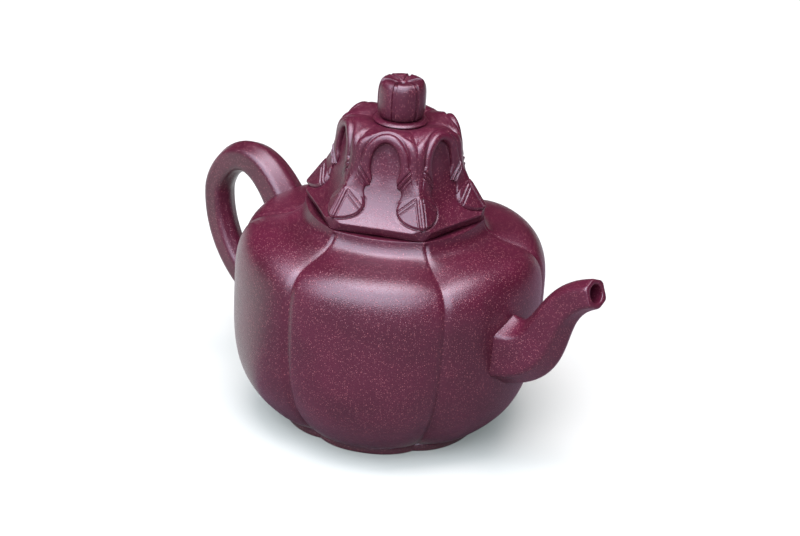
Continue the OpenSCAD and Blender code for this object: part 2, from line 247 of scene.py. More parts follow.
def capped_object(name, rings, material):
    """A solid through rings, closed at each end by a fan round the ring's middle."""
    rings = np.asarray(rings)
    rows, columns = rings.shape[:2]
    points = np.concatenate([rings.reshape(-1, 3), rings[:1].mean(axis=1), rings[-1:].mean(axis=1)])
    faces = grid_faces(rows, columns)
    start, last = rows * columns, (rows - 1) * columns
    for j in range(columns):
        k = (j + 1) % columns
        faces.append([start, k, j])
        faces.append([start + 1, last + j, last + k])
    return make_object(name, points, faces, material)


def turned_object(name, profile, material, columns=192):
    """A ring of clay turned from a closed [radius, height] outline."""
    angles = np.arange(columns) * 360 / columns
    return hollow_object(name, ring_grid(profile, profile, angles, np.zeros(columns)), material)


def place(obj, body, slot, *nodes):
    """Hangs a piece on its body's empty and hides the CAD nodes that it stands for. The slot is not
    used.
    """
    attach(obj, body)
    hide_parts(*nodes)
    return obj


# ---------------------------------------------------------------- pot


def pot_radius(angles, heights):
    """The radius of the pot's outer surface at each angle and height."""
    t = np.linspace(0, 1, 60)
    middle = np.concatenate([bezier(curve, t) for curve in (LOBE_LOW, LOBE_HIGH, LOBE_NECK)])
    groove = np.concatenate([bezier(curve, t) for curve in (GROOVE_LOW, GROOVE_HIGH, GROOVE_NECK)])
    w = across(angles) ** BODY_SHARPNESS
    at_middle = np.interp(heights, middle[:, 1], middle[:, 0])
    at_groove = np.interp(heights, groove[:, 1], groove[:, 0])
    return (1 - w) * at_middle + w * at_groove


def pot_profile(low, high, neck, base_r):
    """A closed outline of the pot's wall: up the outside, over the neck and down the inside."""
    up_low = np.linspace(0.03, 1, 64)
    up_high = np.linspace(0.02, 1, 90)
    up_neck = np.linspace(0.06, 0.95, 20)
    down_high = np.linspace(0.86, 0, 30)
    down_low = np.linspace(0.97, 0.1, 28)
    corners = np.concatenate([
        [[base_r, FOOT_H], low[0]],
        bezier(low, up_low),
        bezier(high, up_high),
        bezier(neck, up_neck),
        [neck[3]],
        [[MOUTH_R + MOUTH_RING_T, SEAT_Z], [MOUTH_R + MOUTH_RING_T, NECK_UNDERSIDE_Z]],
        inset(high, down_high, WALL),
        inset(low, down_low, WALL),
        [[base_r, BASE_TOP]],
    ])
    radii = np.zeros(len(corners))
    radii[1] = 0.45
    radii[2 + len(up_low) + len(up_high) + len(up_neck)] = 0.12
    return rounded(corners, radii, steps=3)


def cut_creases(rings, angles, rows):
    """Sharpens each groove with a narrow V in the outer skin, which is the first few rows."""
    from_groove = (1 - across(angles)) * LOBE_ANGLE / 2
    depth = CREASE_DEPTH * np.clip(1 - from_groove / CREASE_HALF, 0, 1) ** 1.5
    fade = smooth(CREASE_START, CREASE_FULL, rings[:rows, :, 2])
    radius = np.hypot(rings[:rows, :, 0], rings[:rows, :, 1])
    rings[:rows, :, :2] *= (1 - depth * fade / radius)[..., None]
    return rings


def make_pot_body(clay):
    """The belly and the shoulder, one burnished skin outside and in, with a hole behind the spout."""
    angles = lobe_angles(BODY_COLUMNS, GROOVE_CROWD)
    weights = across(angles, GROOVE_SOFTNESS) ** BODY_SHARPNESS
    middle = pot_profile(LOBE_LOW, LOBE_HIGH, LOBE_NECK, BASE_R)
    groove = pot_profile(GROOVE_LOW, GROOVE_HIGH, GROOVE_NECK, BASE_GROOVE_R)
    # The creases stop four rows below the mouth's flat edge
    outer_rows = np.argmax(middle[:, 1]) - 4
    rings = cut_creases(ring_grid(middle, groove, angles, weights), angles, outer_rows)
    body = hollow_object("pot_body", rings, clay)
    drill_spout_hole(body, clay)
    return place(body, "pot", "clay_burnished", "belly_wall", "shoulder_slab")


def drill_spout_hole(body, clay):
    """Cuts the round hole in the wall that the strainer stands in."""
    sides = 96
    a = np.arange(sides) * 2 * np.pi / sides
    across_axis, height = STRAINER_R * np.cos(a), SPOUT_AXIS_Z + STRAINER_R * np.sin(a)
    ends = [np.stack([x + 0 * a, across_axis, height], axis=-1)
            for x in (HOLE_START_X, HOLE_START_X + HOLE_LENGTH)]
    drill = capped_object("drill", ends, clay)
    cut = body.modifiers.new("spout_hole", "BOOLEAN")
    cut.operation = "DIFFERENCE"
    cut.solver = "MANIFOLD"
    cut.object = drill
    apply_modifiers(body)
    bpy.data.objects.remove(drill)


def apply_modifiers(obj):
    """Replaces an object's mesh with what its modifiers make of it."""
    seen = obj.evaluated_get(bpy.context.evaluated_depsgraph_get())
    mesh = bpy.data.meshes.new_from_object(seen)
    obj.modifiers.clear()
    obj.data = mesh


def make_foot_ring(clay):
    """The lobed ring that the pot stands on, with soft edges."""
    outlines = []
    for outer in (FOOT_R, FOOT_GROOVE_R):
        corners = [[outer, 0], [outer, FOOT_H], [FOOT_RECESS_R, FOOT_H], [FOOT_RECESS_R, 0]]
        outlines.append(rounded(corners, [0.7, 0, 0, 0.6]))
    angles = lobe_angles(FOOT_COLUMNS, GROOVE_CROWD)
    weights = across(angles, GROOVE_SOFTNESS) ** BODY_SHARPNESS
    ring = hollow_object("foot_ring_clay", ring_grid(outlines[0], outlines[1], angles, weights), clay)
    return place(ring, "pot", "clay_burnished", "foot_ring")


def make_mouth_ring(clay):
    """The ring that lines the mouth. Its inner edges are soft, and its top meets the neck flush."""
    outer = MOUTH_R + MOUTH_RING_T
    low = SEAT_Z - MOUTH_RING_H
    corners = [[outer, low], [outer, SEAT_Z], [MOUTH_R, SEAT_Z], [MOUTH_R, low]]
    ring = turned_object("mouth_ring_clay", rounded(corners, [0.5, 0, 0.5, 0.5]), clay)
    return place(ring, "pot", "clay_inner", "mouth_ring")


# ---------------------------------------------------------------- spout and handle


def six_sided(width, ridge, softness, share=SIDE_SHARE):
    """Six-sided outlines with a ridge at the top and the bottom and soft corners, one for each width."""
    width, ridge, softness, share = np.broadcast_arrays(width, ridge, softness, share)
    side = share * ridge
    zero = 0 * width
    corners = [(width, side), (zero, ridge), (-width, side),
               (-width, -side), (zero, -ridge), (width, -side)]
    v = np.stack([np.stack(c, axis=-1) for c in corners], axis=-2)
    before, after = np.roll(v, 1, axis=-2) - v, np.roll(v, -1, axis=-2) - v
    # A soft corner takes at most this share of the side next to it
    most = 0.42
    cut_before = np.minimum(softness[..., None] / np.linalg.norm(before, axis=-1), most)[..., None]
    cut_after = np.minimum(softness[..., None] / np.linalg.norm(after, axis=-1), most)[..., None]
    a, b = v + before * cut_before, v + after * cut_after
    bend = [(1 - t) ** 2 * a + 2 * t * (1 - t) * v + t * t * b for t in np.linspace(0, 1, 7)]
    flat = [(1 - t) * b + t * np.roll(a, -1, axis=-2) for t in (0.12, 0.37, 0.63, 0.88)]
    points = np.stack(bend + flat, axis=-2)
    return points.reshape(*width.shape, -1, 2)


def swept(line, t, outline):
    """Outlines [side, up] stood across a centre line in the plane y = 0."""
    c, s = bezier(line, t)[:, None, :], bezier_slope(line, t)[:, None, :]
    side, up = outline[..., 0], outline[..., 1]
    return np.stack([c[..., 0] - up * s[..., 1], side, c[..., 1] + up * s[..., 0]], axis=-1)


def trimmed(rings, rows, both_ends=False):
    """Cuts each column of points where it enters the middle of the pot's wall, then spreads its rows."""
    count = len(rings)
    radius = np.hypot(rings[..., 0], rings[..., 1])
    angles = np.degrees(np.arctan2(rings[..., 1], rings[..., 0]))
    wall_middle = pot_radius(angles, rings[..., 2]) - WALL / 2
    buried = radius < wall_middle
    half = count // 2
    out = np.empty((rows, rings.shape[1], 3))
    for j in range(rings.shape[1]):
        first = np.flatnonzero(buried[:half, j])
        last = np.flatnonzero(buried[half:, j])
        start = first[-1] if len(first) else 0
        end = half + last[0] if both_ends and len(last) else count - 1
        where = np.linspace(start, end, rows)
        for axis in range(3):
            out[:, j, axis] = np.interp(where, np.arange(count), rings[:, j, axis])
    return out


def make_spout(clay):
    """The six-sided spout, its softly rounded lip and the round channel through it."""
    t = np.linspace(0, 0.988, 420)
    share = t**0.45
    width = SPOUT_ROOT_W + (SPOUT_TIP_W - SPOUT_ROOT_W) * share
    ridge = SPOUT_ROOT_RIDGE + (SPOUT_TIP_RIDGE - SPOUT_ROOT_RIDGE) * share
    side_share = SPOUT_ROOT_SHARE + (SIDE_SHARE - SPOUT_ROOT_SHARE) * share
    outline = six_sided(width, ridge, SPOUT_SOFTNESS, side_share)
    outside = trimmed(swept(SPOUT_LINE, t, outline), 110)

    # The lip, as [place along the line, depth in from the outside], then the start of the bore
    lip = np.array([[0.9915, 0.02], [0.9955, 0.1], [0.9984, 0.26], [0.9997, 0.46], [1.0, 0.65]])
    outline = six_sided(SPOUT_TIP_W - lip[:, 1], SPOUT_TIP_RIDGE - lip[:, 1], SPOUT_SOFTNESS)
    lip_rings = swept(SPOUT_LINE, lip[:, 0], outline)
    tip = six_sided(SPOUT_TIP_W, SPOUT_TIP_RIDGE, SPOUT_SOFTNESS)
    around = np.arctan2(tip[:, 1], tip[:, 0])
    circle = np.stack([np.cos(around), np.sin(around)], axis=-1)
    bore = np.array([[1.0, 0.35], [0.9992, 0.18], [0.9975, 0.06], [0.9940, 0.01]])
    bore_rings = swept(SPOUT_LINE, bore[:, 0], circle * (SPOUT_BORE_R + bore[:, 1])[:, None, None])
    t = np.linspace(0, 0.985, 300)
    channel_r = SPOUT_BORE_R + CHANNEL_FLARE * (1 - t) ** 1.5
    channel = trimmed(swept(SPOUT_LINE, t, circle * channel_r[:, None, None]), 60)[::-1]

    rings = np.concatenate([outside, lip_rings, bore_rings, channel])
    return place(hollow_object("spout_clay", rings, clay), "pot", "clay_burnished", "spout")


def make_handle(clay):
    """The ear handle, thicker where it leaves the shoulder."""
    t = np.linspace(0, 1, 300)
    grow = 1 + HANDLE_FLARE * (1 - t) ** 2
    top = swept(HANDLE_TOP, t, six_sided(HANDLE_W * grow, HANDLE_RIDGE * grow, HANDLE_SOFTNESS))
    low = swept(HANDLE_LOW, t[1:], six_sided(HANDLE_W, HANDLE_RIDGE, HANDLE_SOFTNESS + 0 * t[1:]))
    rings = trimmed(np.concatenate([top, low]), 200, both_ends=True)
    return place(capped_object("handle_clay", rings, clay), "pot", "clay_burnished", "handle")


# ---------------------------------------------------------------- lid

# Lengths on the lid's surface: half a face at the leaves, and one step of t up the skirt
HALF_FACE_MM, SKIRT_MM = 13.5, 25.0
# The arch on a face: half its width as a share of half a face, and the places of its legs and crown
ARCH_END = 0.6
ARCH_HALF, LEG_FOOT_HALF = 0.64, 0.74
ARCH_FOOT, ARCH_SPRING, ARCH_CROWN = 0.40, 0.92, 1.26
BAND_HALF, BAND_RISE, BAND_SINK = 1.55, 1.45, 1.1
# The two lines tied round each leg: how far up the skirt they start, their slope, and the leg's radius
TIE_STARTS, TIE_SLOPE, TIE_R = (23.6, 21.15), 1.15, 20.5
# A leaf's half-sizes and the place of its middle, and the height and slope of its carved lines
LEAF_X, LEAF_Y, LEAF_T = 7.4, 6.1, 0.295
LEAF_LINES = ((5.8, 0.88), (4.1, 0.91))
# The notch that runs from under each leaf over the rim
NOTCH_DEPTH, NOTCH_HALF = 0.45, 0.55


def lid_point(s, t):
    """A point on the plain lid.

    s is 0 mid-face and 1 or -1 at a corner. t runs from 0 at the rim to 1 at the waist and 2 on top.
    """
    s, t = np.broadcast_arrays(np.asarray(s, float), np.asarray(t, float))
    w = (s * s)[..., None]
    low = (t <= 1)[..., None]
    face = np.where(low, bezier(FACE_LOW, t), bezier(FACE_HIGH, t - 1))
    corner = np.where(low, bezier(CORNER_LOW, t), bezier(CORNER_HIGH, t - 1))
    q = (1 - w) * face + w * corner
    a = np.radians(s * LOBE_ANGLE / 2)
    return np.stack([q[..., 0] * np.cos(a), q[..., 0] * np.sin(a), q[..., 1]], axis=-1)


def lid_normal(s, t):
    """The outward direction at a point on the plain lid."""
    d = 0.02
    return unit(np.cross(lid_point(s + d, t) - lid_point(s - d, t),
                         lid_point(s, t + d) - lid_point(s, t - d)))


def arch_path(k):
    """The arch's centre line as s and t, k from -1 to 1: a foot, a leg, the arch and back down."""
    k = np.asarray(k, float)
    arch = np.abs(k) < ARCH_END
    leg = np.clip((np.abs(k) - ARCH_END) / (1 - ARCH_END), 0, 1)
    turn = np.radians(90 * k / ARCH_END)
    leg_s = np.sign(k) * (ARCH_HALF + (LEG_FOOT_HALF - ARCH_HALF) * leg**2)
    s = np.where(arch, ARCH_HALF * np.sin(turn), leg_s)
    t = np.where(arch, ARCH_SPRING + (ARCH_CROWN - ARCH_SPRING) * np.cos(turn),
                 ARCH_SPRING + (ARCH_FOOT - ARCH_SPRING) * leg)
    return s, t


def arch_distance(s, t):
    """Distance in millimetres from the arch's centre line, negative inside the arch."""
    path_s, path_t = arch_path(np.linspace(-1, 1, 301))
    path = lid_point(path_s, path_t)
    points = lid_point(s, t)
    nearest = np.full(points.shape[:-1], np.inf)
    for p in path:
        nearest = np.minimum(nearest, np.linalg.norm(points - p, axis=-1))
    rise = np.clip((t - ARCH_SPRING) / (ARCH_CROWN - ARCH_SPRING), 0, None)
    inside = (s / ARCH_HALF) ** 2 + rise**2 < 1
    return np.where(inside, -nearest, nearest)


def shell_relief(s, t):
    """How far the lid's shell stands off the plain lid."""
    d = arch_distance(s, t)
    above_leaf = smooth(0.40, 0.52, t)
    # Outside the arches the shell swells a little, with a crease against the bands
    swell = 0.5 * smooth(0.0, BAND_HALF, d) * (1 - smooth(3.0, 5.5, d)) * above_leaf
    crease = -0.3 * bump(d - BAND_HALF - 0.1, 0.35) * smooth(0.85, 1.0, t)
    # Above the crown the dome dips before it rises to the collar
    dip = -0.85 * bump(d - 3.6, 1.5) * smooth(1.2, 1.45, t)
    # The panel inside the arch lies deeper near the band, most of all under the crown
    panel = -(0.25 + 0.35 * smooth(0.8, 1.1, t)) * smooth(-1.1, -2.1, d) * smooth(-7.5, -3.0, d)
    panel = panel * smooth(0.58, 0.8, t)
    # The pillars between the arches are rounded across
    x, y = (1 - np.abs(s)) * HALF_FACE_MM, (t - LEAF_T) * SKIRT_MM
    crest = -0.9 * np.clip(1 - x / 3, 0, 1) ** 2 * smooth(0.55, 0.8, t) * smooth(1.75, 1.45, t)
    # A narrow groove runs round the leaf
    from_leaf = (np.hypot(x / LEAF_X, y / LEAF_Y) - 1) * (LEAF_X + LEAF_Y) / 2
    groove = -0.4 * bump(from_leaf - 0.2, 0.38) * smooth(4.5, 2.5, y)
    # A notch under the leaf's middle runs out over the rim
    notch = -NOTCH_DEPTH * bump(x, NOTCH_HALF) * smooth(0.1, 0.03, t)
    return swell + crease + dip + panel + crest + groove + notch


def corners_cut(points):
    """Cuts the lid's six corners off square, with a soft edge."""
    r = np.hypot(points[..., 0], points[..., 1])
    a = np.degrees(np.arctan2(points[..., 1], points[..., 0]))
    from_corner = np.radians((a + 360) % LOBE_ANGLE - LOBE_ANGLE / 2)
    limit = CORNER_CUT_R / np.cos(from_corner)
    soft = 0.25
    kept = (r + limit - np.sqrt((r - limit) ** 2 + soft**2)) / 2 + soft * 0.1
    out = points.copy()
    out[..., 0] *= np.minimum(kept, r) / r
    out[..., 1] *= np.minimum(kept, r) / r
    return out


def lid_outside(s):
    """The lid above its rim: skirt, recessed panels, pillars and dome, six faces round."""
    t = np.concatenate([np.linspace(0, 0.12, 14), np.linspace(0.135, 1, 62), np.linspace(1.015, 2, 70)])
    s, t = np.meshgrid(s, t)
    face = lid_point(s, t) + lid_normal(s, t) * shell_relief(s, t)[..., None]
    return np.concatenate([turned(face, LOBE_ANGLE * i) for i in range(LOBES)], axis=1)


def lid_rim(angles):
    """The notched rim, from the lid's underside round the lower edge and up to the skirt."""
    drop = RIM_Z - LID_Z
    # Each row is how far it stands out from the rim's plain edge, and how far below the skirt
    rim_rows = [[-1.6, drop], [-1.2, drop - 0.05], [-1.0, drop - 0.3], [-0.78, drop - 0.9], [-0.42, 1.6],
                [-0.14, 0.8], [-0.02, 0.45], [-0.03, 0.17], [-0.11, 0.04]]
    weights = across(angles) ** LID_SHARPNESS
    rim_face = [[RIM_FACE_R + r, RIM_Z - z] for r, z in rim_rows]
    rim_corner = [[RIM_CORNER_R + r, RIM_Z - z] for r, z in rim_rows]
    rim = ring_grid(rim_face, rim_corner, angles, weights)
    notch = NOTCH_DEPTH * bump((1 - across(angles)) * HALF_FACE_MM, NOTCH_HALF)
    notch_end = 1.2
    fade = np.clip(1 - np.array([z for _, z in rim_rows]) / notch_end, 0, 1)
    scale = 1 - notch[None, :] * fade[:, None] / RIM_CORNER_R
    rim[..., :2] *= scale[..., None]
    return rim


def lid_inside(angles):
    """The top under the collar, the steam hole and the round hollow, down to the lid's underside."""
    steps = np.linspace(0, 1, 16)
    profile = np.concatenate([
        [[TOP_R * 0.6, TOP_Z], [VENT_R, TOP_Z], [VENT_R, ROOF_Z]],
        bezier(HOLLOW_ROOF, steps)[::-1][1:],
        bezier(HOLLOW_WALL, steps)[::-1][1:],
        [[HOLLOW_R, LID_Z]],
    ])
    return ring_grid(profile, profile, angles, np.zeros(len(angles)))


def make_lid_shell(clay):
    """The hexagonal lid, hollow inside and cut off square at its corners."""
    per_face = 72
    angles = lobe_angles(per_face, 0.45)
    outside = lid_outside(angles[:per_face] / (LOBE_ANGLE / 2))
    rings = np.concatenate([corners_cut(lid_rim(angles)), corners_cut(outside), lid_inside(angles)])
    shell = hollow_object("lid_shell", turned(rings, LID_TURN), clay)
    return place(shell, "lid", "clay_burnished", "lid_dome")


def make_lid_flange(clay):
    """The wall that hangs from the lid into the mouth."""
    low, inner = LID_Z - FLANGE_H, FLANGE_R - FLANGE_T
    corners = [[FLANGE_R, low], [FLANGE_R, LID_Z], [inner, LID_Z], [inner, low]]
    flange = turned_object("lid_flange_clay", rounded(corners, [0.6, 0, 0, 0.6]), clay)
    return place(flange, "lid", "clay_inner", "lid_flange")


def carved_line(distance, depth=0.4, width=0.24):
    """A carved line with a raised lower lip. Distance is positive above the line."""
    return depth * (0.55 * bump(distance + 2.1 * width, width) - bump(distance, width))


def band_section(s, t, leg):
    """Each ring of a band, as millimetres to the side and up: over the top, then back underneath."""
    cuff = 1.2 * smooth(0.86, 0.71, t) * smooth(0.585, 0.645, t) * leg
    flare = 1.6 * smooth(0.56, 0.42, t) * leg
    inner_half = (BAND_HALF + cuff + flare)[:, None]
    outer_half = (BAND_HALF + (0.9 * smooth(0.98, 0.8, t) + 0.9 * smooth(0.75, 0.5, t)) * leg)[:, None]
    hood = 0.55 * smooth(1.05, ARCH_CROWN, t)
    rise = BAND_RISE + hood - 0.75 * smooth(0.95, 0.48, t) * leg - 0.8 * smooth(0.46, ARCH_FOOT, t) * leg
    turn = np.linspace(0, np.pi, 41)
    squareness = 2 / 2.5
    over = -np.sign(np.cos(turn)) * np.abs(np.cos(turn)) ** squareness
    height = np.sin(turn) ** squareness
    side = np.where(over < 0, over * inner_half, over * outer_half)
    up = height * rise[:, None]
    # The ties cross each leg, measured in millimetres from the pillar and up the skirt
    from_pillar = (1 - np.abs(s))[:, None] * math.radians(LOBE_ANGLE / 2) * TIE_R - side
    up_skirt = t[:, None] * SKIRT_MM + 0 * side
    for start in TIE_STARTS:
        distance = (up_skirt - start + TIE_SLOPE * from_pillar) / math.hypot(1, TIE_SLOPE)
        where = smooth(0.7, 1.3, from_pillar) * leg[:, None] * np.minimum(height * 2, 1)
        up = up + carved_line(distance, 0.55, 0.25) * where
    sunk = np.full((len(s), 1), -BAND_SINK)
    side = np.concatenate([side, outer_half, 0 * outer_half, -inner_half], axis=1)
    up = np.concatenate([up, sunk, sunk, sunk], axis=1)
    return side, up


def make_cloud_bands(clay):
    """Six arches of rolled clay on the lid's faces, each leg tied by two carved lines."""
    leg_k = np.linspace(ARCH_END, 1, 90)
    arch_k = np.linspace(-ARCH_END, ARCH_END, 90)[1:-1]
    k = np.concatenate([-leg_k[::-1], arch_k, leg_k])
    s, t = arch_path(k)
    step = 0.01
    beyond, before = (lid_point(*arch_path(np.clip(k + d, -1, 1))) for d in (step, -step))
    out = lid_normal(s, t)
    outward = unit(np.cross(out, unit(beyond - before)))
    side, up = band_section(s, t, np.abs(k) > ARCH_END)
    rings = lid_point(s, t)[:, None] + outward[:, None] * side[..., None] + out[:, None] * up[..., None]
    for i in range(LOBES):
        name = f"cloud_band_{i + 1}"
        band = capped_object(name + "_clay", turned(rings, LID_TURN + LOBE_ANGLE * i), clay)
        place(band, "lid", "clay_burnished", name)


def leaf_relief(x, y):
    """How high a leaf stands, x across it and y up from its middle, in millimetres."""
    r = np.hypot(x / LEAF_X, y / LEAF_Y)
    dome = 0.6 + 0.55 * (1 - r**2) - 0.35 * smooth(0.9, 1.0, r)
    side = np.abs(x)
    # The sides are crossed by two carved lines each
    lines = sum(carved_line((y - top + slope * side) / math.hypot(1, slope), 0.26, 0.15)
                for top, slope in LEAF_LINES) * smooth(0.9, 1.4, side)
    # Two thin ribs run down the middle between grooves
    middle = 0.2 * bump(side - 0.42, 0.22) - 0.35 * bump(side - 0.9, 0.2) - 0.14 * bump(side, 0.14)
    return dome + lines + middle * smooth(5.6, 4.0, y)


def make_corner_leaves(clay):
    """Six domed leaves where the legs meet at the lid's corners."""
    size = 96
    u, v = np.meshgrid(np.linspace(-1, 1, size), np.linspace(-1, 1, size))
    x = LEAF_X * u * np.sqrt(1 - v * v / 2)
    y = LEAF_Y * v * np.sqrt(1 - u * u / 2)
    s, t = 1 - x / HALF_FACE_MM, LEAF_T + y / SKIRT_MM
    here = turned(lid_point(s, t), -LOBE_ANGLE / 2)
    beyond = turned(lid_point(s - 2, t), LOBE_ANGLE / 2)
    base = np.where((s > 1)[..., None], beyond, here)
    blend = smooth(-1.5, 1.5, x)[..., None]
    left = turned(lid_normal(np.minimum(s, 1.0), t), -LOBE_ANGLE / 2)
    right = turned(lid_normal(np.maximum(s - 2, -1.0), t), LOBE_ANGLE / 2)
    normal = unit(blend * left + (1 - blend) * right)
    top = base + normal * leaf_relief(x, y)[..., None]
    sink = -1.6 * lid_normal(np.array(0.0), np.array(LEAF_T)) * [1, 0, 1]
    for i in range(LOBES):
        name = f"corner_leaf_{i + 1}"
        angle = LID_TURN + LOBE_ANGLE * (i + 0.5)
        leaf = patch_object(name + "_clay", turned(top, angle), turned(sink, angle), clay)
        place(leaf, "lid", "clay_burnished", name)


def patch_object(name, top, sink, material):
    """A closed solid under a square patch: its border drops by the vector sink and meets below."""
    rows, columns = top.shape[:2]
    index = np.arange(rows * columns).reshape(rows, columns)
    border = np.concatenate([index[0, :-1], index[:-1, -1], index[-1, :0:-1], index[:0:-1, 0]]).tolist()
    points = top.reshape(-1, 3)
    edge = points[border] + sink
    first, count = len(points), len(border)
    faces = grid_faces(rows, columns, wrap_columns=False)
    for n in range(count):
        m = (n + 1) % count
        faces.append([border[m], border[n], first + n, first + m])
        faces.append([first + m, first + n, first + count])
    return make_object(name, np.concatenate([points, edge, [edge.mean(axis=0)]]), faces, material)


# ---------------------------------------------------------------- knob


def make_knob_collar(clay):
    """The thin disc under the knob, undercut all round."""
    corners = [[VENT_R, TOP_Z - 0.3], [8.1, TOP_Z - 0.3], [8.2, TOP_Z + 0.25], [COLLAR_R, TOP_Z + 0.4],
               [COLLAR_R, TOP_Z + 0.65], [7.8, KNOB_Z], [VENT_R, KNOB_Z]]
    collar = turned_object("knob_collar_clay", rounded(corners, [0, 0, 0, 0.12, 0.2, 0.5, 0]), clay)
    return place(collar, "lid", "clay_burnished", "knob_collar")


def make_knob(clay):
    """The knob: six lobes parted by narrow grooves that meet in a star round the steam hole."""
    angles = lobe_angles(64, 0.7)
    low, high = np.linspace(0, 1, 40), np.linspace(0.02, 1, 70)
    profile = np.concatenate([
        [[VENT_R, KNOB_Z]],
        bezier(KNOB_LOW, low),
        bezier(KNOB_HIGH, high),
        [[1.05, 114.85], [VENT_R, 114.5]],
    ])
    rings = ring_grid(profile, profile, angles, np.zeros(len(angles)))
    # Each groove is a narrow flat channel between slightly raised edges, cut square to the surface
    r = np.maximum(profile[:, 0], 0.1)[:, None]
    from_groove = (1 - across(angles))[None, :] * math.radians(LOBE_ANGLE / 2) * r
    channel = 0.55 * smooth(0.72, 0.5, from_groove) - 0.08 * bump(from_groove - 0.8, 0.2)
    fade = smooth(1.2, 3.2, profile[:, 0]) * smooth(KNOB_Z, KNOB_Z + 1.5, profile[:, 1] + 0.4)
    fade[0] = 0
    along = np.gradient(profile, axis=0)
    normal = unit(np.stack([along[:, 1], -along[:, 0]], axis=-1))
    depth = channel * fade[:, None]
    a = np.radians(angles)
    rings[..., 0] -= depth * normal[:, None, 0] * np.cos(a)
    rings[..., 1] -= depth * normal[:, None, 0] * np.sin(a)
    rings[..., 2] -= depth * normal[:, None, 1]
    knob = hollow_object("knob_clay", turned(rings, KNOB_TURN), clay)
    return place(knob, "lid", "clay_burnished", "knob")


# ---------------------------------------------------------------- clay

CLAY_IOR = 1.5
# Colours from 0 to 255: the dark and light of the mottling outside and inside, and the sand grains
OUTSIDE_CLAY = ((47, 9, 22), (57, 12, 28))
INSIDE_CLAY = ((61, 20, 29), (69, 24, 35))
GRAIN = (168, 104, 104)
OUTSIDE_ROUGHNESS, INSIDE_ROUGHNESS = 0.33, 0.6


def linear(colour):
    """An sRGB colour from 0 to 255, as the linear colour that a shader takes."""
    out = []
    for value in colour:
        c = value / 255
        out.append(c / 12.92 if c <= 0.04045 else ((c + 0.055) / 1.055) ** 2.4)
    return (*out, 1.0)


class Nodes:
    """Short ways to add and join nodes in one material."""

    def __init__(self, name):
        self.material = bpy.data.materials.new(name)
        self.material.use_nodes = True
        self.tree = self.material.node_tree
        self.shader = self.tree.nodes["Principled BSDF"]

    def add(self, kind, **inputs):
        """A node, with its inputs given by name. An input may be a socket to join or a plain value."""
        node = self.tree.nodes.new(kind)
        for name, value in inputs.items():
            self.join(node.inputs[name.replace("_", " ")], value)
        return node

    def join(self, socket, value):
        """Joins an input to another node's output, or gives it a plain value."""
        if isinstance(value, bpy.types.NodeSocket):
            self.tree.links.new(value, socket)
        else:
            socket.default_value = value

    def noise(self, place, scale, detail, roughness=0.5):
        """Smooth random values from 0 to 1."""
        settings = {"Vector": place, "Scale": scale, "Detail": detail, "Roughness": roughness}
        return self.add("ShaderNodeTexNoise", **settings).outputs["Fac"]

    def between(self, value, low, high, to_low, to_high):
        """Maps the range low to high onto to_low to to_high, and stops at the ends."""
        settings = {"From_Min": low, "From_Max": high, "To_Min": to_low, "To_Max": to_high}
        return self.add("ShaderNodeMapRange", Value=value, **settings).outputs["Result"]

    def multiply(self, a, b):
        """The product of two values."""
        node = self.tree.nodes.new("ShaderNodeMath")
        node.operation = "MULTIPLY"
        self.join(node.inputs[0], a)
        self.join(node.inputs[1], b)
        return node.outputs[0]

    def mix(self, factor, a, b):
        """Mixes two colours."""
        node = self.tree.nodes.new("ShaderNodeMix")
        node.data_type = "RGBA"
        for socket, value in ((node.inputs[0], factor), (node.inputs[6], a), (node.inputs[7], b)):
            self.join(socket, value)
        return node.outputs[2]


def grains(nodes, place, scale, share, size):
    """Scattered grains: 1 in a grain and 0 between. Share is how many cells hold one."""
    cells = nodes.add("ShaderNodeTexVoronoi", Vector=place, Scale=scale)
    chosen = nodes.add("ShaderNodeSeparateColor", Color=cells.outputs["Color"])
    spot = nodes.between(cells.outputs["Distance"], size * 0.5, size, 1, 0)
    picked = nodes.between(chosen.outputs["Red"], 1 - share, 1 - share * 0.6, 0, 1)
    return nodes.multiply(spot, picked)


def make_clay(name, colours, roughness):
    """Purple-brown zisha clay: mottled, with fine pale sand grains and a satin skin."""
    nodes = Nodes(name)
    dark, light = (linear(colour) for colour in colours)
    grain = linear(GRAIN)
    place = nodes.add("ShaderNodeTexCoord").outputs["Object"]
    broad = nodes.noise(place, 55, 3)
    fine = nodes.noise(place, 900, 4, 0.65)
    tone = nodes.mix(nodes.between(broad, 0.35, 0.65, 0, 1), dark, light)
    small = grains(nodes, place, 2700, 0.3, 0.45)
    large = grains(nodes, place, 1700, 0.05, 0.33)
    tone = nodes.mix(nodes.multiply(small, 0.3), tone, grain)
    tone = nodes.mix(nodes.multiply(large, 0.4), tone, grain)
    shader = nodes.shader
    nodes.join(shader.inputs["Base Color"], tone)
    skin = nodes.between(fine, 0.25, 0.75, roughness - 0.04, roughness + 0.06)
    nodes.join(shader.inputs["Roughness"], skin)
    shader.inputs["IOR"].default_value = CLAY_IOR
    pores = nodes.noise(place, 2600, 3, 0.6)
    rough = nodes.add("ShaderNodeBump", Height=pores, Strength=0.55, Distance=0.00012)
    lumps = nodes.add("ShaderNodeBump", Height=small, Strength=0.5, Distance=0.00008,
                      Normal=rough.outputs[0])
    nodes.join(shader.inputs["Normal"], lumps.outputs[0])
    return nodes.material


# ---------------------------------------------------------------- studio

# The camera's angles in degrees, then its distance and where it aims, its film and its lens in mm
CAMERA_AZIMUTH, CAMERA_ELEVATION, CAMERA_ROLL = 38.63, 23.86, 3.84
CAMERA_DISTANCE, AIM_Z, AIM_RIGHT, AIM_UP = 776.14, 55, -2.753, 3.36
SENSOR_WIDTH, LENS = 36, 108
